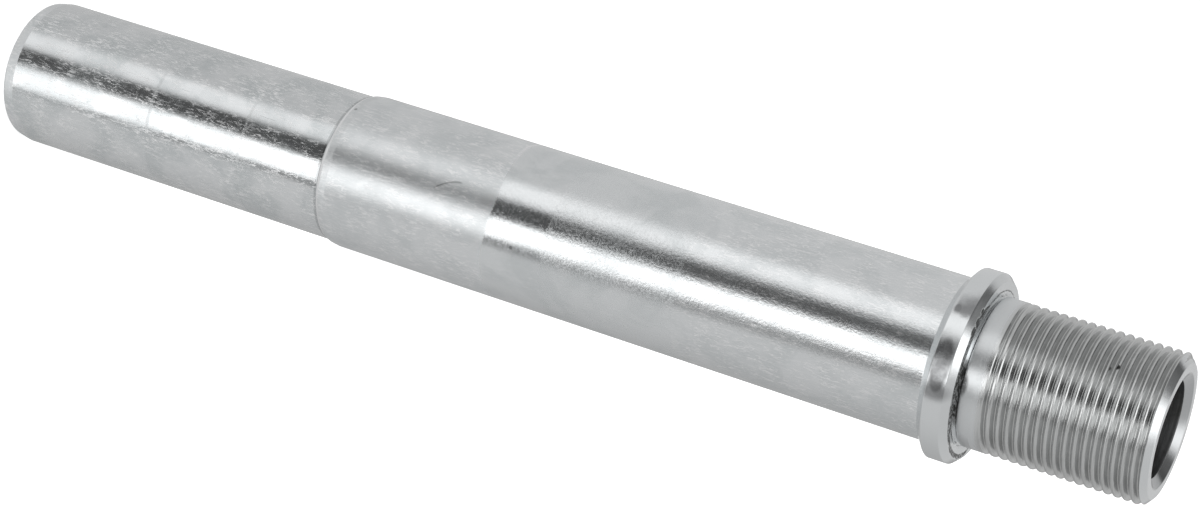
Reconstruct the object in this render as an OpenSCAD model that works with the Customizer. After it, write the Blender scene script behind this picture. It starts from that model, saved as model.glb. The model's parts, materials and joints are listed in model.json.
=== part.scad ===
// Hollow coupler shaft, turned and ground from one bar: a long plain journal, a slightly larger
// body, a chamfered collar, and a threaded spigot. It stands on its plain end, with Z along its axis.

/* [Journal] */
// Diameter of the plain journal
journal_d = 25; // [22:0.1:25.8]
// Length from the plain end to the step
journal_len = 64.2; // [40:0.1:90]
// Length of the lead-in taper at the plain end
lead_len = 2.2; // [0.8:0.1:5]
// How much the lead-in taper takes off the radius
lead_drop = 0.45; // [0.1:0.05:1.5]

/* [Body] */
// Diameter of the body between the step and the collar
body_d = 26.1; // [25.4:0.1:27.2]
// Length from the step to the collar
body_len = 107.3; // [70:0.1:150]
// Length of the steep chamfer that starts the body
step_len = 0.7; // [0.2:0.1:1.5]
// Length of the gentle blend that follows the chamfer
blend_len = 1.3; // [0.5:0.1:6]
// How much of the body's radius is left to that blend
blend_rise = 0.18; // [0.05:0.01:0.19]

/* [Collar] */
// Diameter of the collar
collar_d = 30.4; // [28.8:0.1:36]
// Width of the collar from face to face
collar_w = 5.1; // [3:0.1:10]
// Length of the chamfer on the side of the body
back_len = 1.3; // [0.3:0.1:1.6]
// Radius that this chamfer takes off
back_drop = 1.7; // [0.3:0.1:2]
// Length of the chamfer on the side of the thread
front_len = 0.8; // [0.3:0.1:1.2]
// Radius that this chamfer takes off
front_drop = 1.3; // [0.3:0.1:2.2]

/* [Spigot] */
// Length from the collar's front face to the threaded end
spigot_len = 30.2; // [18:0.1:45]
// Width of the corner relief between the collar and the spigot
relief_w = 0.5; // [0.3:0.05:1.2]
// Depth of the relief below the spigot's surface
relief_depth = 0.3; // [0.1:0.05:1]
// Depth of the relief below the collar's front face
relief_undercut = 0.25; // [0.1:0.05:0.8]
// Length of the chamfer at the threaded end
tip_len = 1; // [0.4:0.1:2.5]
// Radius that the end chamfer takes off
tip_drop = 1.3; // [0.4:0.05:1.8]

/* [Thread] */
// Outside diameter of the spigot and of its right-hand thread
thread_d = 23.85; // [22.5:0.05:24.4]
// Advance of the thread in one turn
pitch = 1.5; // [1:0.25:2]
// Depth of the groove below the outside diameter
thread_depth = 0.8; // [0.3:0.05:0.85]
// Width of the flat at the bottom of the groove
root_flat = 0.2; // [0.1:0.05:0.3]
// Full angle between the groove's two flanks
flank_angle = 60; // [50:1:60]
// Plain neck between the collar and the first trace of the thread
neck_len = 3.4; // [1.5:0.1:10]
// Turns over which the groove sinks in from nothing to its full depth
run_out = 1.2; // [0.5:0.1:2.5]
// Angle round the axis at which the thread begins
thread_start = -29; // [-180:1:180]

/* [Bore] */
// Diameter of the bore that runs right through
bore_d = 15.3; // [8:0.1:16.5]
// Diameter of the countersink's mouth at the threaded end
mouth_d = 18.1; // [17:0.1:19.5]
// Depth of this countersink
mouth_depth = 1; // [0.3:0.1:3]
// Diameter of the countersink's mouth at the plain end
tail_d = 16.8; // [16.6:0.1:20]
// Depth of this countersink
tail_depth = 0.75; // [0.3:0.05:3]

/* [Edges] */
// Radius that breaks the sharp edges of the turned faces
edge_round = 0.2; // [0.05:0.05:0.3]
// Radius at the outer edge of the plain end
end_round = 0.35; // [0.1:0.05:0.6]

/* [Hidden] */

// Facets of a full circle, straight lines in a rounded corner, and groove sections in a turn
$fn = 96;
ARC_STEPS = 4;
GROOVE_STEPS = 36;
// Longest share of a straight side that a corner's round may take
ROUND_SHARE = 0.45;
// How far a cutting tool passes the surface that it cuts
PASS = 1;
// How far the thread tool stands out of the spigot, and how far from it the groove starts
TOOL_PROUD = 0.15;
TOOL_START = 0.03;

// Radii, worked out from the diameters
journal_r = journal_d / 2;
lead_r = journal_r - lead_drop;
body_r = body_d / 2;
step_r = max(journal_r, body_r - blend_rise);
collar_r = collar_d / 2;
back_r = max(body_r, collar_r - back_drop);
thread_r = thread_d / 2;
front_r = max(thread_r + relief_w, collar_r - front_drop);
relief_r = thread_r - relief_depth;
tip_r = thread_r - tip_drop;
bore_r = bore_d / 2;

// Heights along the axis, from the plain end up
collar_z = journal_len + body_len;
spigot_z = collar_z + collar_w;
total_len = spigot_z + spigot_len;
groove_z = spigot_z + neck_len;

// Groove profile: half its width at the bottom, and the spread of one flank for each unit of depth
root_half = root_flat / 2;
flank_spread = tan(flank_angle / 2);
groove_turns = (total_len + pitch - groove_z) / pitch;
groove_sections = ceil(groove_turns * GROOVE_STEPS);

function unit(v) = v / norm(v);

// The corner b between a and c as an arc of radius r, held shorter than the sides that it joins
function round_corner(a, b, c, r) =
    let (
        u = unit(a - b),
        w = unit(c - b),
        half = acos(u * w) / 2,
        reach = min(r / tan(half), ROUND_SHARE * min(norm(a - b), norm(c - b))),
        centre = b + unit(u + w) * reach / cos(half),
        first = b + u * reach - centre,
        last = b + w * reach - centre,
        sweep = 180 - 2 * half
    )
    [for (k = [0:ARC_STEPS])
        let (t = k / ARC_STEPS)
        centre + (first * sin((1 - t) * sweep) + last * sin(t * sweep)) / sin(sweep)];

// An outline of [radius, height, corner round] as plain points, with each rounded corner as an arc
function rounded_outline(rows) =
    [for (i = [0:len(rows) - 1])
        let (
            at = [rows[i][0], rows[i][1]],
            before = rows[max(i - 1, 0)],
            after = rows[min(i + 1, len(rows) - 1)]
        )
        each rows[i][2] == 0
            ? [at]
            : round_corner([before[0], before[1]], at, [after[0], after[1]], rows[i][2])];

// Half section of the turned outside, from the plain end to the threaded end
function turned_outline() = rounded_outline([
    [0, 0, 0],
    [lead_r, 0, end_round],
    [journal_r, lead_len, edge_round],
    [journal_r, journal_len, 0],
    [step_r, journal_len + step_len, edge_round],
    [body_r, journal_len + step_len + blend_len, edge_round],
    [body_r, collar_z, 0],
    [back_r, collar_z, edge_round],
    [collar_r, collar_z + back_len, edge_round],
    [collar_r, spigot_z - front_len, edge_round],
    [front_r, spigot_z, edge_round],
    [thread_r + relief_w, spigot_z, 0],
    [thread_r, spigot_z - relief_undercut, 0],
    [relief_r, spigot_z - relief_undercut, 0],
    [relief_r, spigot_z + relief_w / 2, 0],
    [thread_r, spigot_z + relief_w, edge_round],
    [thread_r, total_len - tip_len, 0],
    [tip_r, total_len, edge_round],
    [0, total_len, 0]
]);

module turned_blank() {
    rotate_extrude() polygon(turned_outline());
}

// The through bore with a countersink at each end
module bore_tool() {
    mouth_slope = (mouth_d / 2 - bore_r) / mouth_depth;
    tail_slope = (tail_d / 2 - bore_r) / tail_depth;
    rotate_extrude()
        polygon([
            [0, -PASS],
            [tail_d / 2 + PASS * tail_slope, -PASS],
            [bore_r, tail_depth],
            [bore_r, total_len - mouth_depth],
            [mouth_d / 2 + PASS * mouth_slope, total_len + PASS],
            [0, total_len + PASS]
        ]);
}

// Four corners of the thread groove's section k: bottom flat inside, mouth outside
function groove_section(k) =
    let (
        turn = k / GROOVE_STEPS,
        sunk = (thread_depth + TOOL_START) * min(1, turn / run_out) - TOOL_START,
        inner = thread_r - sunk,
        outer = thread_r + TOOL_PROUD,
        mouth_half = root_half + (outer - inner) * flank_spread,
        angle = thread_start + 360 * turn,
        height = groove_z + pitch * turn
    )
    [for (corner = [[inner, -root_half], [outer, -mouth_half], [outer, mouth_half], [inner, root_half]])
        [corner[0] * cos(angle), corner[0] * sin(angle), height + corner[1]]];

// The helical tool that leaves the thread, as one closed sweep of the groove's section
module thread_tool() {
    last = 4 * groove_sections;
    polyhedron(
        points = [for (k = [0:groove_sections]) each groove_section(k)],
        faces = [
            [3, 2, 1, 0],
            for (k = [0:groove_sections - 1])
                for (side = [0:3])
                    let (a = 4 * k + side, b = 4 * k + (side + 1) % 4)
                    each [[a, b + 4, a + 4], [a, b, b + 4]],
            [last, last + 1, last + 2, last + 3]
        ]
    );
}

// The finished shaft: the blank with its bore and its thread cut
module coupler_shaft() {
    color("silver")
        difference() {
            turned_blank();
            bore_tool();
            thread_tool();
        }
}

coupler_shaft();
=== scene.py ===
"""A hollow coupler shaft, turned and ground from bright steel, standing on its plain end.

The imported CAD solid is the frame. One closed mesh stands for it, with finer corners and a helical thread,
and five finishes: ground journal, ground body, turned faces, used thread and drilled bore.
"""

import json
import math

import bmesh
import bpy
from mathutils import Matrix, Vector


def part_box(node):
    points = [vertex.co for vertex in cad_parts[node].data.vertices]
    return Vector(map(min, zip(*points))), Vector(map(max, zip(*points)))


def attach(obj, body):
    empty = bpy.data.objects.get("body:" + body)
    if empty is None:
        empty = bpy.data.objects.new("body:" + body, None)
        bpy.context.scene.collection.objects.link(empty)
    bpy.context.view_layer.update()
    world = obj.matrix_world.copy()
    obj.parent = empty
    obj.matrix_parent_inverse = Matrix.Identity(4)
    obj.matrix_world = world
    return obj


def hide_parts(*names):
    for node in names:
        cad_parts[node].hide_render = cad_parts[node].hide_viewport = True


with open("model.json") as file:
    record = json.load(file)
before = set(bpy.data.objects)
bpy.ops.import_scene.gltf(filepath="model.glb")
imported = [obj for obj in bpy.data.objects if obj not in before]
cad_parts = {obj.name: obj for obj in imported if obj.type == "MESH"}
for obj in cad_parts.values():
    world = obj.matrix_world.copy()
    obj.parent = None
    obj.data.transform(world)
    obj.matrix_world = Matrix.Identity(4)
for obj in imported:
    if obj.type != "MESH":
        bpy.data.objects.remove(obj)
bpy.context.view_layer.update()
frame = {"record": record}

MM = 0.001
NODE = "coupler_shaft"

# Sizes of the shaft in millimetres. Height runs up the axis from the plain end.
mounts = {mount["name"]: mount for mount in frame["record"]["mounts"]}
# A thousandth is left off the height, so that rounding can't put the skin outside the CAD box
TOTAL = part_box(NODE)[1].z / MM - 0.001
COLLAR_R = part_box(NODE)[1].x / MM
BORE_R = mounts["bore"]["dims"]["r_mm"]
JOURNAL_R = mounts["journal"]["dims"]["r_mm"]
BODY_R = mounts["body_seat"]["dims"]["r_mm"]
CAD_FACE_Z = mounts["collar_face"]["pos_m"][2] / MM

LEAD_LEN, LEAD_DROP = 2.2, 0.45
JOURNAL_LEN, STEP_LEN, BLEND_LEN, BLEND_RISE = 64.2, 0.7, 1.3, 0.18
COLLAR_W = 5.1
BACK_LEN, BACK_DROP, FRONT_LEN, FRONT_DROP = 1.3, 1.7, 1.0, 1.0
# The photo shows the collar's front face this much further from the plain end than the CAD solid has it
FACE_SHIFT = 0.2
RELIEF_W, RELIEF_DEPTH, RELIEF_UNDERCUT = 0.5, 0.3, 0.25
TIP_LEN, TIP_DROP = 1.0, 1.3
MOUTH_R, MOUTH_DEPTH, TAIL_R, TAIL_DEPTH = 9.05, 1.0, 8.4, 0.75

# The right-hand thread on the spigot
THREAD_R, PITCH, THREAD_DEPTH = 11.925, 1.5, 0.8
ROOT_HALF, FLANK_SPREAD = 0.1, math.tan(math.radians(30))
NECK_LEN, RUN_OUT, THREAD_START = 3.4, 1.2, math.radians(-29)
ROOT_SOFT, CREST_SOFT = 0.1, 0.28

COLLAR_Z = CAD_FACE_Z - COLLAR_W
FACE_Z = CAD_FACE_Z + FACE_SHIFT
GROOVE_Z = CAD_FACE_Z + NECK_LEN
TIP_R = THREAD_R - TIP_DROP
TIP_Z = TOTAL - TIP_LEN
# The thread's own skin ends at these two heights, and is bridged to the turned skin across a small gap
SKIN_LOW, SKIN_HIGH, SKIN_GAP = GROOVE_Z - 0.9, TOTAL - 0.32, 0.06

# Radii that break the corners, and the straights that each rounded corner is made of
EDGE_ROUND, END_ROUND, LEAD_ROUND, BLEND_ROUND = 0.2, 0.35, 0.4, 1.0
SMALL_ROUND, TIGHT_ROUND = 0.1, 0.06
ARC_STEPS = 4
# Longest share of a straight side that a corner's round may take
ROUND_SHARE = 0.45
# A side at least this long is split this far from both its ends
LONG_SIDE, END_STRIP = 0.8, 0.2
# Sections of the skin round the axis
AROUND = 120
# Points nearer than this become one, and a cut takes points this near as lying on it
MERGE_GAP, CUT_GAP = 0.002, 0.0005
# Cuts through the thread's skin along the end chamfer
TIP_CUTS = 6
# Edges sharper than this shade as corners
SHARP_ANGLE = math.radians(32)


# Camera, floor and light

SENSOR, LENS = 36, 84.638
CAMERA_PLACE = (0.00074, -0.4198, 0.28363)
# How far the camera looks down, and how far it is rolled on its side, in degrees
LOOKS_DOWN, ROLLED = 22.38, 107.82


def aim_camera():
    """The camera of the photograph: above the threaded end, tipped down and rolled on its side."""
    data = bpy.data.cameras.new("camera")
    data.sensor_width = SENSOR
    data.lens = LENS
    data.clip_start = 0.01
    camera = bpy.data.objects.new("camera", data)
    bpy.context.scene.collection.objects.link(camera)
    tip = Matrix.Rotation(math.radians(90 - LOOKS_DOWN), 4, "X")
    roll = Matrix.Rotation(math.radians(ROLLED), 4, "Z")
    camera.matrix_world = Matrix.Translation(CAMERA_PLACE) @ tip @ roll
    bpy.context.scene.camera = camera


class Nodes:
    """A node tree with short ways to add a node and join it to what feeds it."""

    def __init__(self, tree):
        self.tree = tree

    def add(self, kind, **settings):
        node = self.tree.nodes.new(kind)
        for name, value in settings.items():
            setattr(node, name, value)
        return node

    def feed(self, socket, value):
        if isinstance(value, bpy.types.NodeSocket):
            self.tree.links.new(value, socket)
        else:
            socket.default_value = value

    def math(self, operation, *values, clamp=False):
        node = self.add("ShaderNodeMath", operation=operation, use_clamp=clamp)
        for socket, value in zip(node.inputs, values):
            self.feed(socket, value)
        return node.outputs[0]

    def times(self, first, *others, clamp=False):
        """The product of values."""
        for other in others:
            first = self.math("MULTIPLY", first, other, clamp=clamp)
        return first

    def largest(self, first, *others):
        for other in others:
            first = self.math("MAXIMUM", first, other)
        return first

    def weigh(self, *parts):
        """The sum of values, each given as (value, weight)."""
        total = 0.0
        for value, weight in parts:
            total = self.math("MULTIPLY_ADD", value, weight, total)
        return total

    def vector(self, operation, *values):
        node = self.add("ShaderNodeVectorMath", operation=operation)
        for socket, value in zip(node.inputs, values):
            self.feed(socket, value)
        return node.outputs["Value" if operation == "LENGTH" else "Vector"]

    def span(self, value, low, high, start=0.0, end=1.0):
        """start below low, end above high, and a smooth change between them."""
        node = self.add("ShaderNodeMapRange", interpolation_type="SMOOTHSTEP")
        for socket, given in zip(node.inputs, (value, low, high, start, end)):
            self.feed(socket, given)
        return node.outputs[0]

    def window(self, value, rise, fall):
        """1 between a rise and a fall, each given as (from, to), and 0 outside them."""
        return self.times(self.span(value, *rise), self.span(value, *fall, 1, 0))

    def mix(self, share, first, second):
        """A value that goes from first to second as share goes from 0 to 1."""
        node = self.add("ShaderNodeMix", data_type="FLOAT")
        self.feed(node.inputs[0], share)
        self.feed(node.inputs[2], first)
        self.feed(node.inputs[3], second)
        return node.outputs[0]

    def mix_colours(self, share, first, second):
        """As mix, for colours, each given as a socket or as (red, green, blue)."""
        node = self.add("ShaderNodeMix", data_type="RGBA")
        self.feed(node.inputs[0], share)
        for socket, value in ((node.inputs[6], first), (node.inputs[7], second)):
            self.feed(socket, value if isinstance(value, bpy.types.NodeSocket) else (*value, 1))
        return node.outputs[2]

    def noise(self, vector, scale, detail=2.0, roughness=0.5, distortion=0.0):
        node = self.add("ShaderNodeTexNoise")
        self.feed(node.inputs["Vector"], vector)
        node.inputs["Scale"].default_value = scale
        node.inputs["Detail"].default_value = detail
        node.inputs["Roughness"].default_value = roughness
        node.inputs["Distortion"].default_value = distortion
        return node.outputs["Fac"]

    def group(self, tree, **values):
        node = self.add("ShaderNodeGroup", node_tree=tree)
        for name, value in values.items():
            self.feed(node.inputs[name.replace("_", " ").capitalize()], value)
        return node.outputs


def new_group(name, inputs, outputs):
    """An empty node group with named inputs, (name, kind, value), and named outputs, (name, kind)."""
    tree = bpy.data.node_groups.new(name, "ShaderNodeTree")
    for label, kind, value in inputs:
        socket = tree.interface.new_socket(label, in_out="INPUT", socket_type="NodeSocket" + kind)
        if value is not None:
            socket.default_value = value
    for label, kind in outputs:
        tree.interface.new_socket(label, in_out="OUTPUT", socket_type="NodeSocket" + kind)
    nodes = Nodes(tree)
    source, sink = nodes.add("NodeGroupInput"), nodes.add("NodeGroupOutput")
    return nodes, source.outputs, sink.inputs


def make_panel_group():
    """A soft-edged panel that stands upright in the studio, as a mask over the direction's azimuth."""
    nodes, given, result = new_group(
        "studio panel",
        [("Azimuth", "Float", 0), ("Centre", "Float", 0), ("Half width", "Float", 10), ("Soft", "Float", 2)],
        [("Mask", "Float")],
    )
    apart = nodes.math("SUBTRACT", given["Azimuth"], given["Centre"])
    apart = nodes.math("ABSOLUTE", nodes.math("WRAP", apart, 180, -180))
    inner = nodes.math("SUBTRACT", given["Half width"], given["Soft"])
    outer = nodes.math("ADD", given["Half width"], given["Soft"])
    nodes.feed(result["Mask"], nodes.span(apart, inner, outer, 1, 0))
    return nodes.tree


# Levels of the studio's walls, of its white panel and strip light, of its ceiling and the wall just under it,
# and of the patch on the ground
FRONT_WALL, RIGHT_WALL, BACK_WALL = 0.63, 0.60, 0.42
WHITE, CEILING, UPPER_WALL, GROUND_PATCH = 1.6, 0.57, 0.58, 0.95

# Upright panels, (azimuth, half width, softness, level): azimuth 0 is towards the camera, plus is to +X
FRONT_PANELS = [
    (-41, 13, 7, 1.06),
    (-10, 13, 4, 0.085),
    (37, 10, 4, 0.3),
]
# A narrow white panel with a dark edge behind the shaft, for views from the back
BACK_PANELS = [
    (180, 13, 2, 0.3),
    (180, 7, 2, 1.2),
]


def studio_level(nodes):
    """How bright the studio is in each direction, as the steel mirrors it."""
    direction = nodes.add("ShaderNodeTexCoord").outputs["Generated"]
    split = nodes.add("ShaderNodeSeparateXYZ")
    nodes.feed(split.inputs[0], direction)
    side, away, up = split.outputs
    azimuth = nodes.math("DEGREES", nodes.math("ARCTAN2", side, nodes.times(away, -1)))
    panel = make_panel_group()

    def hang(level, panels, reach):
        """The level with panels hung in front of it, as far up as they reach."""
        for centre, half, soft, shade in panels:
            mask = nodes.group(panel, azimuth=azimuth, centre=centre, half_width=half, soft=soft)["Mask"]
            level = nodes.mix(nodes.times(mask, reach), level, shade)
        return level

    # The walls are a little darker on the right-hand side and behind
    walls = nodes.span(azimuth, 60, 170, RIGHT_WALL, BACK_WALL)
    walls = nodes.mix(nodes.span(azimuth, 40, 60), FRONT_WALL, walls)
    in_reach = nodes.span(up, -0.76, -0.62)
    level = hang(walls, FRONT_PANELS, in_reach)
    level = hang(level, BACK_PANELS, nodes.span(up, -0.5, -0.4))
    # The white panel leans: it is wider and further to the right the lower it is
    depth = nodes.largest(nodes.math("SUBTRACT", -0.28, up), 0)
    centre = nodes.math("MULTIPLY_ADD", depth, 33, 14.5)
    half = nodes.math("MULTIPLY_ADD", depth, 15, 11.5)
    level = hang(level, [(centre, half, 3, WHITE)], in_reach)

    # Overhead: a strip light, with a dark flag on its left
    flag = nodes.span(nodes.math("MULTIPLY_ADD", away, -0.3, side), -0.49, -0.17, 1, 0)
    flag_level = nodes.times(nodes.span(up, 0.6, 0.76, 0.65, 1), nodes.span(away, 0, 0.4, 0.215, 0.15))
    ceiling = nodes.mix(nodes.span(side, -0.03, 0.25), WHITE, CEILING)
    ceiling = nodes.mix(flag, ceiling, flag_level)
    ceiling = nodes.mix(nodes.span(up, 0.46, 0.57), UPPER_WALL, ceiling)
    level = nodes.mix(nodes.span(up, 0.02, 0.12), level, ceiling)

    # The left half is a little dimmer low down
    low_left = nodes.times(nodes.span(up, -0.58, -0.32, 1, 0), nodes.span(azimuth, -20, 0, 1, 0), in_reach)
    level = nodes.times(level, nodes.math("MULTIPLY_ADD", low_left, -0.16, 1))
    # A pale patch on the ground in front, which only the lead-in at the plain end mirrors
    on_ground = nodes.times(nodes.math("SUBTRACT", 1, in_reach), nodes.span(up, -0.96, -0.9))
    return hang(level, [(35, 30, 20, GROUND_PATCH)], on_ground)


def light_studio():
    """A pale studio for the steel to mirror. The camera sees plain white in its place."""
    world = bpy.data.worlds.new("studio")
    bpy.context.scene.world = world
    world.use_nodes = True
    nodes = Nodes(world.node_tree)
    world.node_tree.nodes.clear()
    seen = nodes.add("ShaderNodeLightPath").outputs["Is Camera Ray"]
    shine = nodes.add("ShaderNodeBackground")
    nodes.feed(shine.inputs["Strength"], nodes.mix(seen, studio_level(nodes), 1.0))
    shine.inputs["Color"].default_value = (1, 1, 1, 1)
    out = nodes.add("ShaderNodeOutputWorld")
    nodes.feed(out.inputs["Surface"], shine.outputs[0])


# Square soft lamps for the floor and the old dirt: (name, place, size, power)
LAMPS = [
    ("key lamp", (-0.9, -1.0, 1.6), 1.2, 14),
    ("fill lamp", (1.2, -0.6, 1.4), 1.2, 7),
]
# The middle of the shaft, which the lamps look at
LAMP_TARGET = Vector((0, 0, 0.1))


def add_lamps():
    """The lamps, which the steel doesn't mirror: it mirrors the studio instead."""
    for name, place, size, power in LAMPS:
        data = bpy.data.lights.new(name, "AREA")
        data.size = size
        data.energy = power
        lamp = bpy.data.objects.new(name, data)
        bpy.context.scene.collection.objects.link(lamp)
        lamp.location = place
        lamp.rotation_euler = (LAMP_TARGET - Vector(place)).to_track_quat("-Z", "Y").to_euler()
        lamp.visible_glossy = False
        lamp.visible_camera = False


FLOOR_HALF, FLOOR_COLOUR, FLOOR_GLOW = 6, (0.9, 0.9, 0.9, 1), 0.45


def lay_floor():
    """A plain pale floor, which the steel doesn't mirror."""
    shape = bmesh.new()
    bmesh.ops.create_grid(shape, x_segments=1, y_segments=1, size=FLOOR_HALF)
    data = bpy.data.meshes.new("floor")
    shape.to_mesh(data)
    shape.free()
    floor = bpy.data.objects.new("floor", data)
    bpy.context.scene.collection.objects.link(floor)
    floor.visible_glossy = False
    floor.visible_shadow = False

    material = bpy.data.materials.new("pale floor")
    material.use_nodes = True
    nodes = Nodes(material.node_tree)
    material.node_tree.nodes.clear()
    paint = nodes.add("ShaderNodeBsdfDiffuse")
    paint.inputs["Color"].default_value = FLOOR_COLOUR
    glow = nodes.add("ShaderNodeEmission")
    seen = nodes.add("ShaderNodeLightPath").outputs["Is Camera Ray"]
    nodes.feed(glow.inputs["Strength"], nodes.times(seen, FLOOR_GLOW))
    both = nodes.add("ShaderNodeAddShader")
    nodes.feed(both.inputs[0], paint.outputs[0])
    nodes.feed(both.inputs[1], glow.outputs[0])
    out = nodes.add("ShaderNodeOutputMaterial")
    nodes.feed(out.inputs["Surface"], both.outputs[0])
    data.materials.append(material)


# Node groups that the finishes share

def make_place_group():
    """Where a point lies on the shaft: height and radius in millimetres, and the angle in degrees."""
    nodes, given, result = new_group(
        "place on the shaft",
        [("Vector", "Vector", None)],
        [("Height", "Float"), ("Radius", "Float"), ("Angle", "Float")],
    )
    split = nodes.add("ShaderNodeSeparateXYZ")
    nodes.feed(split.inputs[0], given["Vector"])
    across = nodes.vector("MULTIPLY", given["Vector"], (1, 1, 0))
    angle = nodes.math("DEGREES", nodes.math("ARCTAN2", split.outputs["Y"], split.outputs["X"]))
    nodes.feed(result["Height"], split.outputs["Z"])
    nodes.feed(result["Radius"], nodes.vector("LENGTH", across))
    nodes.feed(result["Angle"], angle)
    return nodes.tree


def make_band_group():
    """1 between two heights on the shaft and 0 outside them, with a soft change at each."""
    nodes, given, result = new_group(
        "band along the shaft",
        [("Height", "Float", 0), ("Low", "Float", 0), ("High", "Float", 1), ("Soft", "Float", 0.2)],
        [("Mask", "Float")],
    )
    half = nodes.times(given["Soft"], 0.5)
    rise, fall = [(nodes.math("SUBTRACT", given[end], half), nodes.math("ADD", given[end], half))
                  for end in ("Low", "High")]
    nodes.feed(result["Mask"], nodes.window(given["Height"], rise, fall))
    return nodes.tree


def make_lines_group():
    """Fine lines that run round the shaft, as a turning or grinding wheel leaves them, from -1 to 1."""
    nodes, given, result = new_group(
        "lines round the shaft",
        [("Vector", "Vector", None), ("Per mm", "Float", 4), ("Breaks", "Float", 0.1)],
        [("Height", "Float")],
    )
    stretch = nodes.add("ShaderNodeCombineXYZ")
    for axis, source in (("X", "Breaks"), ("Y", "Breaks"), ("Z", "Per mm")):
        nodes.feed(stretch.inputs[axis], given[source])
    drawn = nodes.vector("MULTIPLY", given["Vector"], stretch.outputs[0])
    value = nodes.noise(drawn, 1.0, detail=3, roughness=0.65)
    nodes.feed(result["Height"], nodes.span(value, 0.25, 0.75, -1, 1))
    return nodes.tree


# Directions in which the small streaks run, as turns about the three axes in radians
STREAK_TILTS = ((0.45, 0.7, 0.3), (-0.6, -0.9, 0.9), (0.2, 1.6, 0.1))


def make_smears_group():
    """Cloudy smears of dried oil and handling: a broad cloud with small streaks and specks in it."""
    nodes, given, result = new_group(
        "smears",
        [("Vector", "Vector", None)],
        [("Cloud", "Float"), ("Streaks", "Float"), ("Specks", "Float")],
    )
    vector = given["Vector"]
    cloud = nodes.noise(vector, 0.11, detail=4, roughness=0.55, distortion=0.6)
    strokes = []
    for tilt in STREAK_TILTS:
        turned = nodes.add("ShaderNodeMapping")
        nodes.feed(turned.inputs["Vector"], vector)
        turned.inputs["Rotation"].default_value = tilt
        turned.inputs["Scale"].default_value = (1.0, 1.0, 0.24)
        stroke = nodes.noise(turned.outputs[0], 2.6, detail=3, roughness=0.6, distortion=1.0)
        strokes.append(nodes.span(stroke, 0.54, 0.69))
    clumps = nodes.noise(vector, 0.3, detail=2)
    streaks = nodes.times(nodes.largest(*strokes), nodes.span(clumps, 0.35, 0.6, 0.35, 1))
    specks = nodes.noise(vector, 1.7, detail=2, roughness=0.7, distortion=1.2)
    nodes.feed(result["Cloud"], nodes.span(cloud, 0.4, 0.62))
    nodes.feed(result["Streaks"], streaks)
    nodes.feed(result["Specks"], nodes.span(specks, 0.6, 0.72))
    return nodes.tree


def make_scratches_group():
    """Hair-thin scratches, drawn where a stretched noise crosses its middle, and broken up by another."""
    nodes, given, result = new_group(
        "hair scratches",
        [("Vector", "Vector", None), ("Tilt", "Vector", None), ("Width", "Float", 0.01)],
        [("Mask", "Float")],
    )
    turned = nodes.add("ShaderNodeMapping")
    nodes.feed(turned.inputs["Vector"], given["Vector"])
    nodes.feed(turned.inputs["Rotation"], given["Tilt"])
    turned.inputs["Scale"].default_value = (0.9, 0.9, 0.05)
    value = nodes.noise(turned.outputs[0], 0.8, detail=1, roughness=0.4)
    off = nodes.math("ABSOLUTE", nodes.math("SUBTRACT", value, 0.5))
    line = nodes.span(off, 0.0, given["Width"], 1, 0)
    breaks = nodes.noise(given["Vector"], 0.35, detail=2)
    nodes.feed(result["Mask"], nodes.times(line, nodes.span(breaks, 0.52, 0.62)))
    return nodes.tree


def make_mark_group():
    """A small soft oval mark at one place: half its size along the axis, in millimetres, and round it, in
    degrees."""
    nodes, given, result = new_group(
        "mark",
        [("Height", "Float", 0), ("Angle", "Float", 0), ("At height", "Float", 0), ("At angle", "Float", 0),
         ("Half height", "Float", 1), ("Half angle", "Float", 1), ("Soft", "Float", 0.3)],
        [("Mask", "Float")],
    )
    along = nodes.math("SUBTRACT", given["Height"], given["At height"])
    round_it = nodes.math("WRAP", nodes.math("SUBTRACT", given["Angle"], given["At angle"]), 180, -180)
    squares = []
    for apart, half in ((along, given["Half height"]), (round_it, given["Half angle"])):
        share = nodes.math("ABSOLUTE", nodes.math("DIVIDE", apart, half))
        squares.append(nodes.math("POWER", share, 2))
    far = nodes.math("SQRT", nodes.math("ADD", *squares))
    inner = nodes.math("SUBTRACT", 1, given["Soft"])
    outer = nodes.math("ADD", 1, given["Soft"])
    nodes.feed(result["Mask"], nodes.span(far, inner, outer, 1, 0))
    return nodes.tree


class Kit:
    """The node groups that the finishes share, and short ways to use them."""

    def __init__(self):
        self.place = make_place_group()
        self.band = make_band_group()
        self.lines = make_lines_group()
        self.smears = make_smears_group()
        self.scratches = make_scratches_group()
        self.mark = make_mark_group()

    def locate(self, nodes):
        """The place of a point on the shaft: its vector, height and radius in millimetres, and its angle."""
        where = nodes.add("ShaderNodeTexCoord").outputs["Object"]
        vector = nodes.vector("MULTIPLY", where, (1 / MM, 1 / MM, 1 / MM))
        found = nodes.group(self.place, vector=vector)
        return {"Vector": vector, **{name: found[name] for name in ("Height", "Radius", "Angle")}}

    def between(self, nodes, height, low, high, soft):
        """1 between two heights, with a soft change at each."""
        return nodes.group(self.band, height=height, low=low, high=high, soft=soft)["Mask"]

    def mark_at(self, nodes, spot, place, half_size, soft=0.3):
        """An oval mark: its place and half its size, both as (along the axis, round it)."""
        return nodes.group(self.mark, height=spot["Height"], angle=spot["Angle"],
                           at_height=place[0], at_angle=place[1],
                           half_height=half_size[0], half_angle=half_size[1], soft=soft)["Mask"]

    def hairs(self, nodes, spot, tilt, width):
        return nodes.group(self.scratches, vector=spot["Vector"], tilt=tilt, width=width)["Mask"]

    def tool_lines(self, nodes, spot, per_mm, breaks):
        return nodes.group(self.lines, vector=spot["Vector"], per_mm=per_mm, breaks=breaks)["Height"]


# Finishes

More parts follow.
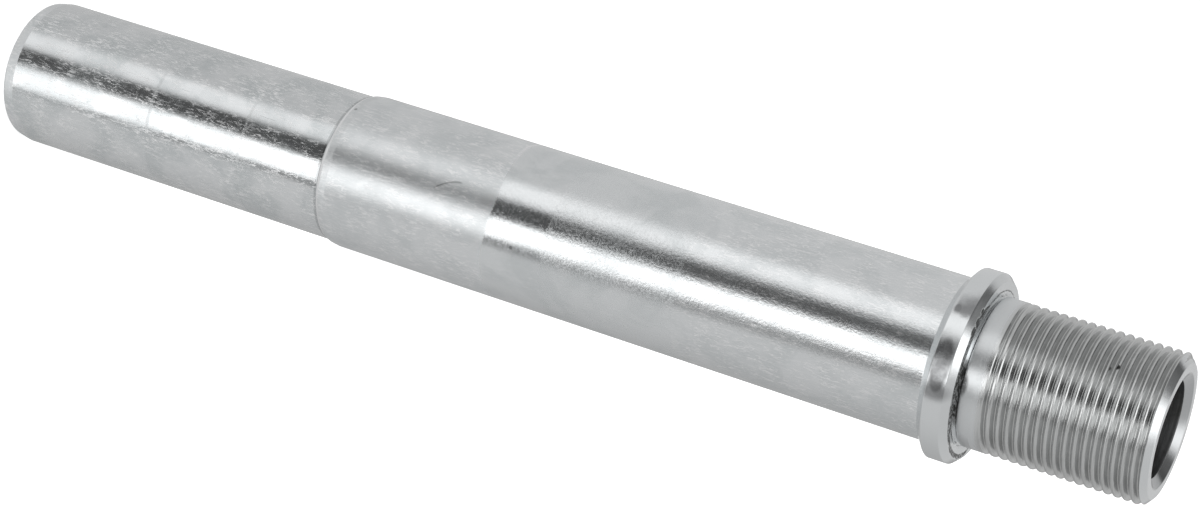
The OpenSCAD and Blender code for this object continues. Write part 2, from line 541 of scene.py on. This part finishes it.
STEEL = (0.80, 0.82, 0.83)
PALE = (0.96, 0.965, 0.97)
DULL = (0.67, 0.70, 0.71)
NECK_STEEL = (0.73, 0.75, 0.76)
THREAD_STEEL = (0.68, 0.69, 0.69)
SCUFF_AND_SHADE = (0.28, 0.285, 0.29)
GROOVE_OIL_AND_SHADE = (0.25, 0.25, 0.245)
# The bore's colours are darkened as painted shade inside the tube, besides its old oil
SHADED_BORE_STEEL, BORE_OIL_AND_SHADE = (0.34, 0.345, 0.35), (0.18, 0.18, 0.175)
# Near black, for grime, nicks and specks, and for painted shade at the foot of the step and round the foot of
# the neck
GRIME_AND_SHADE = (0.042, 0.043, 0.042)

# Where the finish changes along the journal and the body, as (low, high): two faint rings, the lengths after
# them, the length with no dull coat and the fine-ground length
JOURNAL_RINGS = ((30.0, 30.6), (48.4, 48.9))
JOURNAL_MIDDLE, JOURNAL_UPPER = (30.3, 48.6), (48.6, 66)
BODY_BRIGHT, BODY_FINE = (96, 130), (106.4, 180)
# Two small dark specks on the body, as (place, half size)
BODY_SPECKS = (((65.4, -136.5), (0.28, 1.2)), ((101.0, -70.5), (0.3, 1.2)))
# The body's one curved scratch: the height and angle of its upper end, its length, and how far it turns
SCRATCH_Z, SCRATCH_ANGLE, SCRATCH_LEN, SCRATCH_TURN = 89.5, -103.5, 4.1, 8.5
# Lumps of old dirt on the edge of the collar's front face, as (angle, half its spread)
LUMPS = ((-111, 3.5), (-118, 3), (-126, 2.5))
# A small dark nick on one crest of the thread, as (place, half size)
NICK = ((198.2, -122.8), (0.33, 2.0))


def start_steel(name, colour):
    """A metal material with its shader, and the nodes to build on."""
    material = bpy.data.materials.new(name)
    material.use_nodes = True
    shader = material.node_tree.nodes["Principled BSDF"]
    shader.inputs["Base Color"].default_value = (*colour, 1)
    shader.inputs["Metallic"].default_value = 1
    return material, Nodes(material.node_tree), shader


def add_bump(nodes, shader, height, distance):
    """Relief on the surface, with its depth in millimetres."""
    bump = nodes.add("ShaderNodeBump")
    bump.inputs["Distance"].default_value = distance * MM
    nodes.feed(bump.inputs["Height"], height)
    nodes.feed(shader.inputs["Normal"], bump.outputs[0])


def journal_steel(kit):
    """The journal: ground bright, then handled. Three lengths differ in how much smear is left on them."""
    material, nodes, shader = start_steel("ground steel of the journal", STEEL)
    spot = kit.locate(nodes)
    vector, height = spot["Vector"], spot["Height"]
    middle = kit.between(nodes, height, *JOURNAL_MIDDLE, 0.8)
    upper = kit.between(nodes, height, *JOURNAL_UPPER, 0.8)
    lead_in = kit.between(nodes, height, -1, LEAD_LEN, 0.3)
    rings = nodes.math("ADD", *[kit.between(nodes, height, *ring, 0.3) for ring in JOURNAL_RINGS])
    smears = nodes.group(kit.smears, vector=vector)
    marks = kit.hairs(nodes, spot, (0.35, 0.6, 0), 0.012)
    crossed = kit.hairs(nodes, spot, (-0.5, 0.9, 0.4), 0.012)
    lines = kit.tool_lines(nodes, spot, 5, 0.12)
    grain = nodes.noise(vector, 1.3, detail=3, roughness=0.65)

    rough = nodes.mix(middle, 0.14, nodes.span(height, 32, 48, 0.085, 0.11))
    rough = nodes.mix(upper, rough, nodes.span(height, 50, 63, 0.13, 0.085))
    rough = nodes.weigh((rough, 1), (smears["Cloud"], 0.08), (smears["Streaks"], 0.24),
                        (marks, 0.15), (crossed, 0.15), (rings, 0.1))
    nodes.feed(shader.inputs["Roughness"], nodes.mix(lead_in, rough, 0.42))

    paint = nodes.mix_colours(smears["Cloud"], STEEL, DULL)
    pale = nodes.weigh((smears["Streaks"], 1.0), (smears["Specks"], 0.3), (marks, 0.4))
    paint = nodes.mix_colours(pale, paint, PALE)
    # Painted shade along the top of the journal, at the foot of the step up to the body
    foot_shade = kit.between(nodes, height, JOURNAL_LEN - 0.35, 70, 0.2)
    dark = nodes.weigh((foot_shade, 0.25), (rings, 0.04))
    nodes.feed(shader.inputs["Base Color"], nodes.mix_colours(dark, paint, GRIME_AND_SHADE))
    relief = nodes.weigh((lines, 0.1), (marks, -0.5), (smears["Streaks"], 0.25), (grain, 0.7), (rings, -0.3))
    add_bump(nodes, shader, relief, 0.008)
    return material


def body_steel(kit):
    """The body: a dull ground length after the step, a bright one, and a fine-ground one to the collar."""
    material, nodes, shader = start_steel("ground steel of the body", STEEL)
    spot = kit.locate(nodes)
    vector, height, angle = spot["Vector"], spot["Height"], spot["Angle"]
    wander = nodes.noise(vector, 0.12, detail=2)
    edge_height = nodes.math("ADD", height, nodes.math("MULTIPLY_ADD", wander, 2.0, -1.0))
    bright = kit.between(nodes, edge_height, *BODY_BRIGHT, 0.6)
    fine = kit.between(nodes, height, *BODY_FINE, 0.5)
    smears = nodes.group(kit.smears, vector=vector)
    marks = kit.hairs(nodes, spot, (0.2, 0.5, 0), 0.014)
    lines = kit.tool_lines(nodes, spot, 4, 0.08)
    grain = nodes.noise(vector, 2.4, detail=3, roughness=0.7)

    rough = nodes.mix(bright, 0.295, 0.085)
    rough = nodes.mix(fine, rough, 0.15)
    patchy = nodes.times(nodes.span(grain, 0.35, 0.65), nodes.mix(bright, 0.03, 0.12))
    rough = nodes.weigh((rough, 1), (smears["Cloud"], 0.03), (smears["Streaks"], 0.05), (patchy, 1),
                        (marks, 0.06))
    nodes.feed(shader.inputs["Roughness"], rough)

    paint = nodes.mix_colours(nodes.times(smears["Cloud"], 0.6), STEEL, DULL)
    # A painted highlight: a pale line along the slope of the step up from the journal
    lip_highlight = kit.between(nodes, height, JOURNAL_LEN + 0.25, JOURNAL_LEN + 0.65, 0.15)
    stain = kit.between(nodes, edge_height, BODY_BRIGHT[0] - 0.5, BODY_BRIGHT[0] + 0.2, 0.4)
    stain = nodes.times(stain, nodes.span(angle, -150, -128, 1, 0))
    pale = nodes.weigh((smears["Streaks"], nodes.mix(bright, 0.9, 0.2)), (marks, 0.3), (lip_highlight, 0.8),
                       (stain, 0.6))
    paint = nodes.mix_colours(pale, paint, PALE)

    # The curved scratch leaves the axis faster the nearer it is to the plain end
    passed = nodes.math("DIVIDE", nodes.math("SUBTRACT", SCRATCH_Z, height), SCRATCH_LEN, clamp=True)
    track = nodes.math("MULTIPLY_ADD", nodes.math("POWER", passed, 1.8), SCRATCH_TURN, SCRATCH_ANGLE)
    off = nodes.math("ABSOLUTE", nodes.math("SUBTRACT", angle, track))
    scratch = nodes.times(nodes.span(off, 0.2, 1.0, 1, 0),
                          kit.between(nodes, height, SCRATCH_Z - SCRATCH_LEN, SCRATCH_Z + 0.1, 0.8))
    specks = [(kit.mark_at(nodes, spot, *speck), 0.45) for speck in BODY_SPECKS]
    # Painted shade on the body, right at the foot of the step from the journal
    foot_shade = kit.between(nodes, height, 60, JOURNAL_LEN + 0.15, 0.15)
    dark = nodes.weigh((scratch, 0.4), *specks, (foot_shade, 0.24))
    nodes.feed(shader.inputs["Base Color"], nodes.mix_colours(dark, paint, GRIME_AND_SHADE))
    relief = nodes.weigh((lines, 0.12), (marks, -0.2),
                         (nodes.math("SUBTRACT", grain, 0.5), nodes.mix(fine, 0.7, 1.6)))
    add_bump(nodes, shader, relief, 0.014)
    return material


def collar_scuffs_and_shade(nodes, kit, spot, blotch, rim):
    """Dull scuffs on the collar's rim, with painted shade beside them and higher up, as (value, weight)."""
    height, angle = spot["Height"], spot["Angle"]
    scuff = kit.mark_at(nodes, spot, (174.2, -86), (1.5, 15), soft=0.2)
    scuff = nodes.times(scuff, nodes.span(blotch, 0.3, 0.7, 1.0, 0.75))
    # Painted shade beside the scuff, deepening a dark band on the rim
    low_band_shade = kit.mark_at(nodes, spot, (174.3, -70), (2.2, 5), soft=0.5)
    # A broader painted shade higher up, with ragged ends
    ragged = nodes.math("MULTIPLY_ADD", blotch, 8, nodes.math("SUBTRACT", angle, 4))
    upper = nodes.math("MULTIPLY_ADD", nodes.span(height, 173.2, 175.8), 5, ragged)
    shade = nodes.times(nodes.span(upper, -134, -119), nodes.span(ragged, -119.5, -115, 1, 0), rim)
    # A small darker spot of painted shade within that shade
    shade_blob = kit.mark_at(nodes, spot, (173.4, -120), (0.5, 2.5), soft=0.5)
    return [(scuff, 1), (shade, 0.9), (low_band_shade, 0.6), (shade_blob, 0.4)]


def corner_dirt_and_shade(nodes, kit, spot, blotch, grain, neck_shade):
    """Old oil and dust in a broken ring on the collar's front face, with painted shadow in the corner at the
    foot of the neck and in one arc of the relief, and the neck's painted shade.
    """
    height, radius, angle = spot["Height"], spot["Radius"], spot["Angle"]
    front = nodes.span(height, FACE_Z - 0.1, FACE_Z - 0.03)
    # The ring is wide and far out on the photo's side, and widest in the lower half of that
    wide = nodes.window(angle, (-142, -122), (10, 40))
    below = nodes.window(angle, (-98, -86), (-50, -30))
    middle = nodes.mix(below, nodes.mix(wide, 12.75, 13.65), 13.25)
    thick = nodes.times(nodes.mix(wide, 0.12, 0.5), nodes.span(angle, -108, -100, 1, 0.75))
    thick = nodes.mix(below, thick, 0.85)
    off = nodes.math("MULTIPLY_ADD", nodes.math("SUBTRACT", blotch, 0.5), 0.5,
                     nodes.math("SUBTRACT", radius, middle))
    past = nodes.math("SUBTRACT", nodes.math("ABSOLUTE", off), thick)
    ring = nodes.times(front, nodes.span(past, -0.08, 0.08, 1, 0))
    # Painted shadow on the relief's upper slope, at the foot of the neck
    foot_shade = kit.between(nodes, height, FACE_Z + 0.26, FACE_Z + 0.48, 0.08)
    # Painted shade deep in the relief, over one arc round the shaft
    deep_shade = kit.between(nodes, height, FACE_Z - 0.6, FACE_Z + 0.4, 0.1)
    deep_shade = nodes.times(deep_shade, below, nodes.span(radius, 12.5, 12.9, 1, 0))
    dirt_and_shade = nodes.largest(ring, foot_shade, deep_shade, nodes.times(neck_shade, 0.75))
    dirt_and_shade = nodes.times(dirt_and_shade, nodes.span(grain, 0.36, 0.52, 0.3, 1))
    on_face = nodes.span(radius, 12.8, 13.0)
    for at_angle, half_angle in LUMPS:
        lump = kit.mark_at(nodes, spot, (FACE_Z, at_angle), (0.15, half_angle), soft=0.4)
        dirt_and_shade = nodes.largest(dirt_and_shade, nodes.times(lump, on_face))
    return dirt_and_shade


def turned_steel(kit):
    """The collar, the neck and the end faces: turned and not ground, with the tool's lines left on them."""
    material, nodes, shader = start_steel("turned steel", STEEL)
    spot = kit.locate(nodes)
    vector, height, radius, angle = spot["Vector"], spot["Height"], spot["Radius"], spot["Angle"]
    smears = nodes.group(kit.smears, vector=vector)
    lines = kit.tool_lines(nodes, spot, 5, 0.06)
    rings = nodes.add("ShaderNodeTexNoise", noise_dimensions="1D")
    nodes.feed(rings.inputs["W"], radius)
    rings.inputs["Scale"].default_value = 6
    grain = nodes.noise(vector, 2.0, detail=3, roughness=0.7)
    blotch = nodes.noise(vector, 0.7, detail=3, roughness=0.6)
    neck = kit.between(nodes, height, FACE_Z + 0.15, GROOVE_Z + 1, 0.3)
    rim = kit.between(nodes, height, COLLAR_Z + BACK_LEN + 0.3, FACE_Z - FRONT_LEN + 0.1, 0.5)
    rough = nodes.weigh((smears["Cloud"], 0.06), (grain, 0.05), (neck, 0.16), (rim, 0.05), (0.13, 1))
    nodes.feed(shader.inputs["Roughness"], rough)

    # Painted shade on the neck, in a band on one side and in a patch, and painted shade darkening the
    # countersinks at both ends of the bore
    under_shade = nodes.times(nodes.window(angle, (-34, -20), (-8, 0)), neck)
    neck_shade = nodes.times(kit.mark_at(nodes, spot, (177.3, -75), (0.7, 8), soft=0.4), neck)
    # Painted shade in the countersinks at the threaded end and at the plain end
    mouth_shade = nodes.times(nodes.span(radius, MOUTH_R - 0.05, MOUTH_R + 0.25, 1, 0),
                        nodes.span(height, TIP_Z - 1, TIP_Z))
    tail_shade = nodes.times(nodes.span(radius, TAIL_R - 0.05, TAIL_R + 0.2, 1, 0), nodes.span(height, 1, 2, 1, 0))
    # Real scuffs and specks, together with painted shade on the collar, the neck and the countersinks, darken
    # the steel towards one grey
    dark = nodes.weigh(*collar_scuffs_and_shade(nodes, kit, spot, blotch, rim), (neck_shade, 0.5), (under_shade, 0.3),
                       (mouth_shade, 0.5), (tail_shade, 0.3), (smears["Specks"], 0.06))
    paint = nodes.mix_colours(neck, STEEL, NECK_STEEL)
    paint = nodes.mix_colours(dark, paint, SCUFF_AND_SHADE)
    dirt_and_shade = corner_dirt_and_shade(nodes, kit, spot, blotch, grain, neck_shade)
    nodes.feed(shader.inputs["Base Color"], nodes.mix_colours(dirt_and_shade, paint, GRIME_AND_SHADE))
    nodes.feed(shader.inputs["Metallic"], nodes.math("SUBTRACT", 1, dirt_and_shade))
    shader.inputs["Specular IOR Level"].default_value = 0.1
    relief = nodes.weigh((lines, 0.2), (rings.outputs["Fac"], 0.4), (grain, 0.8))
    add_bump(nodes, shader, relief, 0.008)
    return material


def thread_steel(kit):
    """The thread: cut, darker in the grooves where oil and dust stay, with painted shade on two sides, and
    worn bright on the crests.
    """
    material, nodes, shader = start_steel("used thread steel", THREAD_STEEL)
    spot = kit.locate(nodes)
    height, radius, angle = spot["Height"], spot["Radius"], spot["Angle"]
    lines = kit.tool_lines(nodes, spot, 7, 0.35)
    dust = nodes.noise(spot["Vector"], 0.6, detail=4, roughness=0.65)
    depth = nodes.span(radius, THREAD_R - THREAD_DEPTH, THREAD_R - 0.1, 1, 0)
    grooved = nodes.span(height, GROOVE_Z - 0.3, GROOVE_Z + 1.0)
    oily = nodes.times(depth, nodes.span(dust, 0.25, 0.7, 0.4, 1.0))
    streaks = nodes.math("MULTIPLY_ADD", lines, 0.5, 0.5)
    # Painted shade in two arcs round the thread, darkening it on two sides
    under_shade = nodes.window(angle, (-55, -28), (-16, -8))
    over_shade = nodes.window(angle, (-160, -150), (-125, -108))
    share = nodes.weigh((oily, 0.22), (streaks, 0.24), (under_shade, 0.16), (over_shade, 0.12))
    share = nodes.times(share, grooved, clamp=True)
    paint = nodes.mix_colours(grooved, NECK_STEEL, THREAD_STEEL)
    paint = nodes.mix_colours(share, paint, GROOVE_OIL_AND_SHADE)
    nick = kit.mark_at(nodes, spot, *NICK)
    nodes.feed(shader.inputs["Base Color"], nodes.mix_colours(nick, paint, GRIME_AND_SHADE))
    rough = nodes.mix(grooved, 0.31, nodes.math("MULTIPLY_ADD", dust, 0.08, 0.11))
    nodes.feed(shader.inputs["Roughness"], rough)
    add_bump(nodes, shader, nodes.weigh((lines, 0.8), (dust, 1)), 0.006)
    return material


def bore_steel(kit):
    """The bore: drilled and reamed, much duller than the outside, its colour darkened as painted shade inside
    the tube and clouded with old oil.
    """
    material, nodes, shader = start_steel("drilled steel", SHADED_BORE_STEEL)
    spot = kit.locate(nodes)
    lines = kit.tool_lines(nodes, spot, 3, 0.1)
    cloud = nodes.group(kit.smears, vector=spot["Vector"])["Cloud"]
    nodes.feed(shader.inputs["Base Color"], nodes.mix_colours(cloud, SHADED_BORE_STEEL, BORE_OIL_AND_SHADE))
    nodes.feed(shader.inputs["Roughness"], nodes.math("MULTIPLY_ADD", cloud, 0.1, 0.32))
    add_bump(nodes, shader, lines, 0.008)
    return material


# The five finishes in the order of the piece's material slots
FINISHES = (journal_steel, body_steel, turned_steel, thread_steel, bore_steel)
JOURNAL, BODY, TURNED, THREAD, BORE = range(len(FINISHES))


# The skin of the shaft

def turned_outline():
    """Half section of the skin from the neck down the outside, up the bore and over the threaded end, as
    (radius, height, corner radius)."""
    return [
        (THREAD_R, SKIN_LOW - SKIN_GAP, 0),
        (THREAD_R, FACE_Z + RELIEF_W, EDGE_ROUND),
        (THREAD_R - RELIEF_DEPTH, FACE_Z + RELIEF_W / 2, SMALL_ROUND),
        (THREAD_R - RELIEF_DEPTH, FACE_Z - RELIEF_UNDERCUT, TIGHT_ROUND),
        (THREAD_R, FACE_Z - RELIEF_UNDERCUT, TIGHT_ROUND),
        (THREAD_R + RELIEF_W, FACE_Z, SMALL_ROUND),
        (COLLAR_R - FRONT_DROP, FACE_Z, TIGHT_ROUND),
        (COLLAR_R, FACE_Z - FRONT_LEN, EDGE_ROUND),
        (COLLAR_R, COLLAR_Z + BACK_LEN, EDGE_ROUND),
        (COLLAR_R - BACK_DROP, COLLAR_Z, EDGE_ROUND),
        (BODY_R, COLLAR_Z, SMALL_ROUND),
        (BODY_R, JOURNAL_LEN + STEP_LEN + BLEND_LEN, BLEND_ROUND),
        (BODY_R - BLEND_RISE, JOURNAL_LEN + STEP_LEN, EDGE_ROUND),
        (JOURNAL_R, JOURNAL_LEN, SMALL_ROUND),
        (JOURNAL_R, LEAD_LEN, LEAD_ROUND),
        (JOURNAL_R - LEAD_DROP, 0, END_ROUND),
        (TAIL_R, 0, SMALL_ROUND),
        (BORE_R, TAIL_DEPTH, SMALL_ROUND),
        (BORE_R, TOTAL - MOUTH_DEPTH, SMALL_ROUND),
        (MOUTH_R, TOTAL, SMALL_ROUND),
        (TIP_R, TOTAL, EDGE_ROUND),
        (tip_radius(SKIN_HIGH + SKIN_GAP), SKIN_HIGH + SKIN_GAP, 0),
    ]


def tip_radius(height):
    """Radius of the end chamfer at a height."""
    return TIP_R + (TOTAL - height) * TIP_DROP / TIP_LEN


def round_corner(before, corner, after, radius):
    """Rounds a corner of a wire by a fan of short straights, held inside its two sides."""
    to_before, to_after = before - corner, after - corner
    half = to_before.angle(to_after) / 2
    longest = ROUND_SHARE * min(to_before.length, to_after.length)
    reach = min(radius / math.tan(half), longest)
    middle = (to_before.normalized() + to_after.normalized()).normalized()
    centre = corner + middle * reach / math.cos(half)
    first = corner + to_before.normalized() * reach - centre
    last = corner + to_after.normalized() * reach - centre
    return [centre + first.normalized().slerp(last.normalized(), k / ARC_STEPS) * first.length
            for k in range(ARC_STEPS + 1)]


def split_sides(edges):
    """Splits each long straight near both its ends, so that flat faces shade flat up to their edges."""
    for edge in edges:
        length = edge.calc_length()
        if length < LONG_SIDE * MM:
            continue
        low, high = edge.verts
        near = min(END_STRIP * MM, 0.2 * length)
        _, new_vert = bmesh.utils.edge_split(edge, low, near / length)
        rest = next(e for e in new_vert.link_edges if high in e.verts)
        bmesh.utils.edge_split(rest, high, near / rest.calc_length())


def turn_skin(shape):
    """Spins the half section round the axis."""
    rows = turned_outline()
    arm = Matrix.Rotation(THREAD_START, 4, "Z")
    corners = [arm @ (Vector((radius, 0, height)) * MM) for radius, height, _ in rows]
    wire = [shape.verts.new(corners[0])]
    for k in range(1, len(rows) - 1):
        points = round_corner(*corners[k - 1:k + 2], rows[k][2] * MM)
        wire += [shape.verts.new(point) for point in points]
    wire.append(shape.verts.new(corners[-1]))
    split_sides([shape.edges.new(pair) for pair in zip(wire, wire[1:])])
    bmesh.ops.spin(shape, geom=shape.verts[:] + shape.edges[:], cent=(0, 0, 0), axis=(0, 0, 1),
                   angle=math.tau, steps=AROUND, use_merge=True)


def ramp(value, corner, soft):
    """0 before the corner, then rising one for one, with the corner rounded."""
    past = value - corner
    if past <= -soft:
        return 0.0
    if past >= soft:
        return past
    return (past + soft) ** 2 / (4 * soft)


def groove_depth(offset, sunk):
    """How deep the skin lies at an offset along the axis from the middle of a groove of this full depth."""
    if sunk <= 0:
        return 0.0
    along = (abs(offset) - ROOT_HALF) / FLANK_SPREAD
    root, crest = (min(soft, 0.4 * sunk) for soft in (ROOT_SOFT, CREST_SOFT))
    return sunk - ramp(along, 0, root) + ramp(along, sunk, crest)


def cut_level(shape, level, outward=(0, 0, 1), **options):
    """Cuts the skin at a height."""
    bmesh.ops.bisect_plane(shape, geom=shape.verts[:] + shape.edges[:] + shape.faces[:],
                           dist=CUT_GAP * MM, plane_co=(0, 0, level * MM), plane_no=outward, **options)


def thread_skin():
    """One pitch of the thread, spun up a helix, cut off at both ends and sunk to its depth turn by turn."""
    shape = bmesh.new()
    half = PITCH / 2
    crest_edge = ROOT_HALF + THREAD_DEPTH * FLANK_SPREAD
    root_soft, crest_soft = ROOT_SOFT * FLANK_SPREAD, CREST_SOFT * FLANK_SPREAD
    steps_out = [ROOT_HALF + root_soft * share for share in (-1, 0, 1)]
    steps_out += [crest_edge + crest_soft * share for share in (-1, -0.6, -0.2, 0.2, 0.6, 1)]
    offsets = sorted([-half, 0, half] + steps_out + [-step for step in steps_out])
    turns_before = 2
    start = GROOVE_Z - turns_before * PITCH
    turns = math.ceil((TOTAL + PITCH - start) / PITCH)
    arm = Matrix.Rotation(THREAD_START, 4, "Z")
    wire = [shape.verts.new(arm @ (Vector((THREAD_R, 0, start + offset)) * MM)) for offset in offsets]
    for pair in zip(wire, wire[1:]):
        shape.edges.new(pair)
    bmesh.ops.spin(shape, geom=shape.verts[:] + shape.edges[:], cent=(0, 0, 0), axis=(0, 0, 1),
                   dvec=(0, 0, PITCH * MM / AROUND), angle=math.tau, steps=AROUND, use_merge=False)
    first_turn = shape.verts[:] + shape.edges[:] + shape.faces[:]
    for turn in range(1, turns):
        copy = bmesh.ops.duplicate(shape, geom=first_turn)["geom"]
        bmesh.ops.translate(shape, vec=(0, 0, turn * PITCH * MM),
                            verts=[item for item in copy if isinstance(item, bmesh.types.BMVert)])
    bmesh.ops.remove_doubles(shape, verts=shape.verts, dist=MERGE_GAP * MM)
    cut_level(shape, SKIN_LOW, outward=(0, 0, -1), clear_outer=True)
    cut_level(shape, SKIN_HIGH, clear_outer=True)
    for k in range(TIP_CUTS):
        cut_level(shape, TIP_Z + k * THREAD_DEPTH / TIP_DROP * TIP_LEN / (TIP_CUTS - 1))
    sink_thread(shape)
    return shape


def sink_thread(shape):
    """Moves each point of the thread's skin in to the groove, the run-out and the end chamfer."""
    for vert in shape.verts:
        angle = (math.atan2(vert.co.y, vert.co.x) - THREAD_START) % math.tau / math.tau
        climbed = (vert.co.z / MM - GROOVE_Z) / PITCH - angle
        turn = round(climbed)
        offset = (climbed - turn) * PITCH
        sunk = THREAD_DEPTH * min(1.0, max(0.0, turn + angle) / RUN_OUT)
        radius = THREAD_R - groove_depth(offset, sunk)
        if vert.co.z / MM > TIP_Z:
            radius = min(radius, tip_radius(vert.co.z / MM))
        vert.co.x, vert.co.y = Vector((vert.co.x, vert.co.y)).normalized() * radius * MM


def finish_of(face):
    """Which of the five finishes a face has, by where it lies."""
    centre = face.calc_center_median() / MM
    radius = math.hypot(centre.x, centre.y)
    if radius < BORE_R + 0.02:
        return BORE
    if radius < TIP_R - 0.05 and (centre.z < TAIL_DEPTH or centre.z > TIP_Z):
        return TURNED
    if centre.z < JOURNAL_LEN + 0.05:
        return JOURNAL
    if centre.z < COLLAR_Z - 0.02:
        return BODY
    if SKIN_LOW < centre.z < TIP_Z:
        return THREAD
    if TIP_Z <= centre.z < SKIN_HIGH and radius < tip_radius(centre.z) - 0.03:
        return THREAD
    return TURNED


def make_shaft():
    """The whole shaft as one closed piece."""
    shape = thread_skin()
    skin = bpy.data.meshes.new("thread")
    shape.to_mesh(skin)
    shape.clear()
    turn_skin(shape)
    shape.from_mesh(skin)
    bpy.data.meshes.remove(skin)
    for level in (SKIN_LOW - SKIN_GAP / 2, SKIN_HIGH + SKIN_GAP / 2):
        rims = [edge for edge in shape.edges
                if edge.is_boundary and all(abs(v.co.z / MM - level) < SKIN_GAP for v in edge.verts)]
        bmesh.ops.bridge_loops(shape, edges=rims)
    bmesh.ops.recalc_face_normals(shape, faces=shape.faces)
    for face in shape.faces:
        face.material_index = finish_of(face)
        face.smooth = True
    data = bpy.data.meshes.new("shaft")
    shape.to_mesh(data)
    shape.free()
    data.set_sharp_from_angle(angle=SHARP_ANGLE)
    kit = Kit()
    for finish in FINISHES:
        data.materials.append(finish(kit))
    shaft = bpy.data.objects.new("shaft", data)
    bpy.context.scene.collection.objects.link(shaft)
    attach(shaft, "root")
    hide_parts(NODE)


bpy.context.scene.view_settings.view_transform = "Standard"
aim_camera()
light_studio()
lay_floor()
add_lamps()
make_shaft()
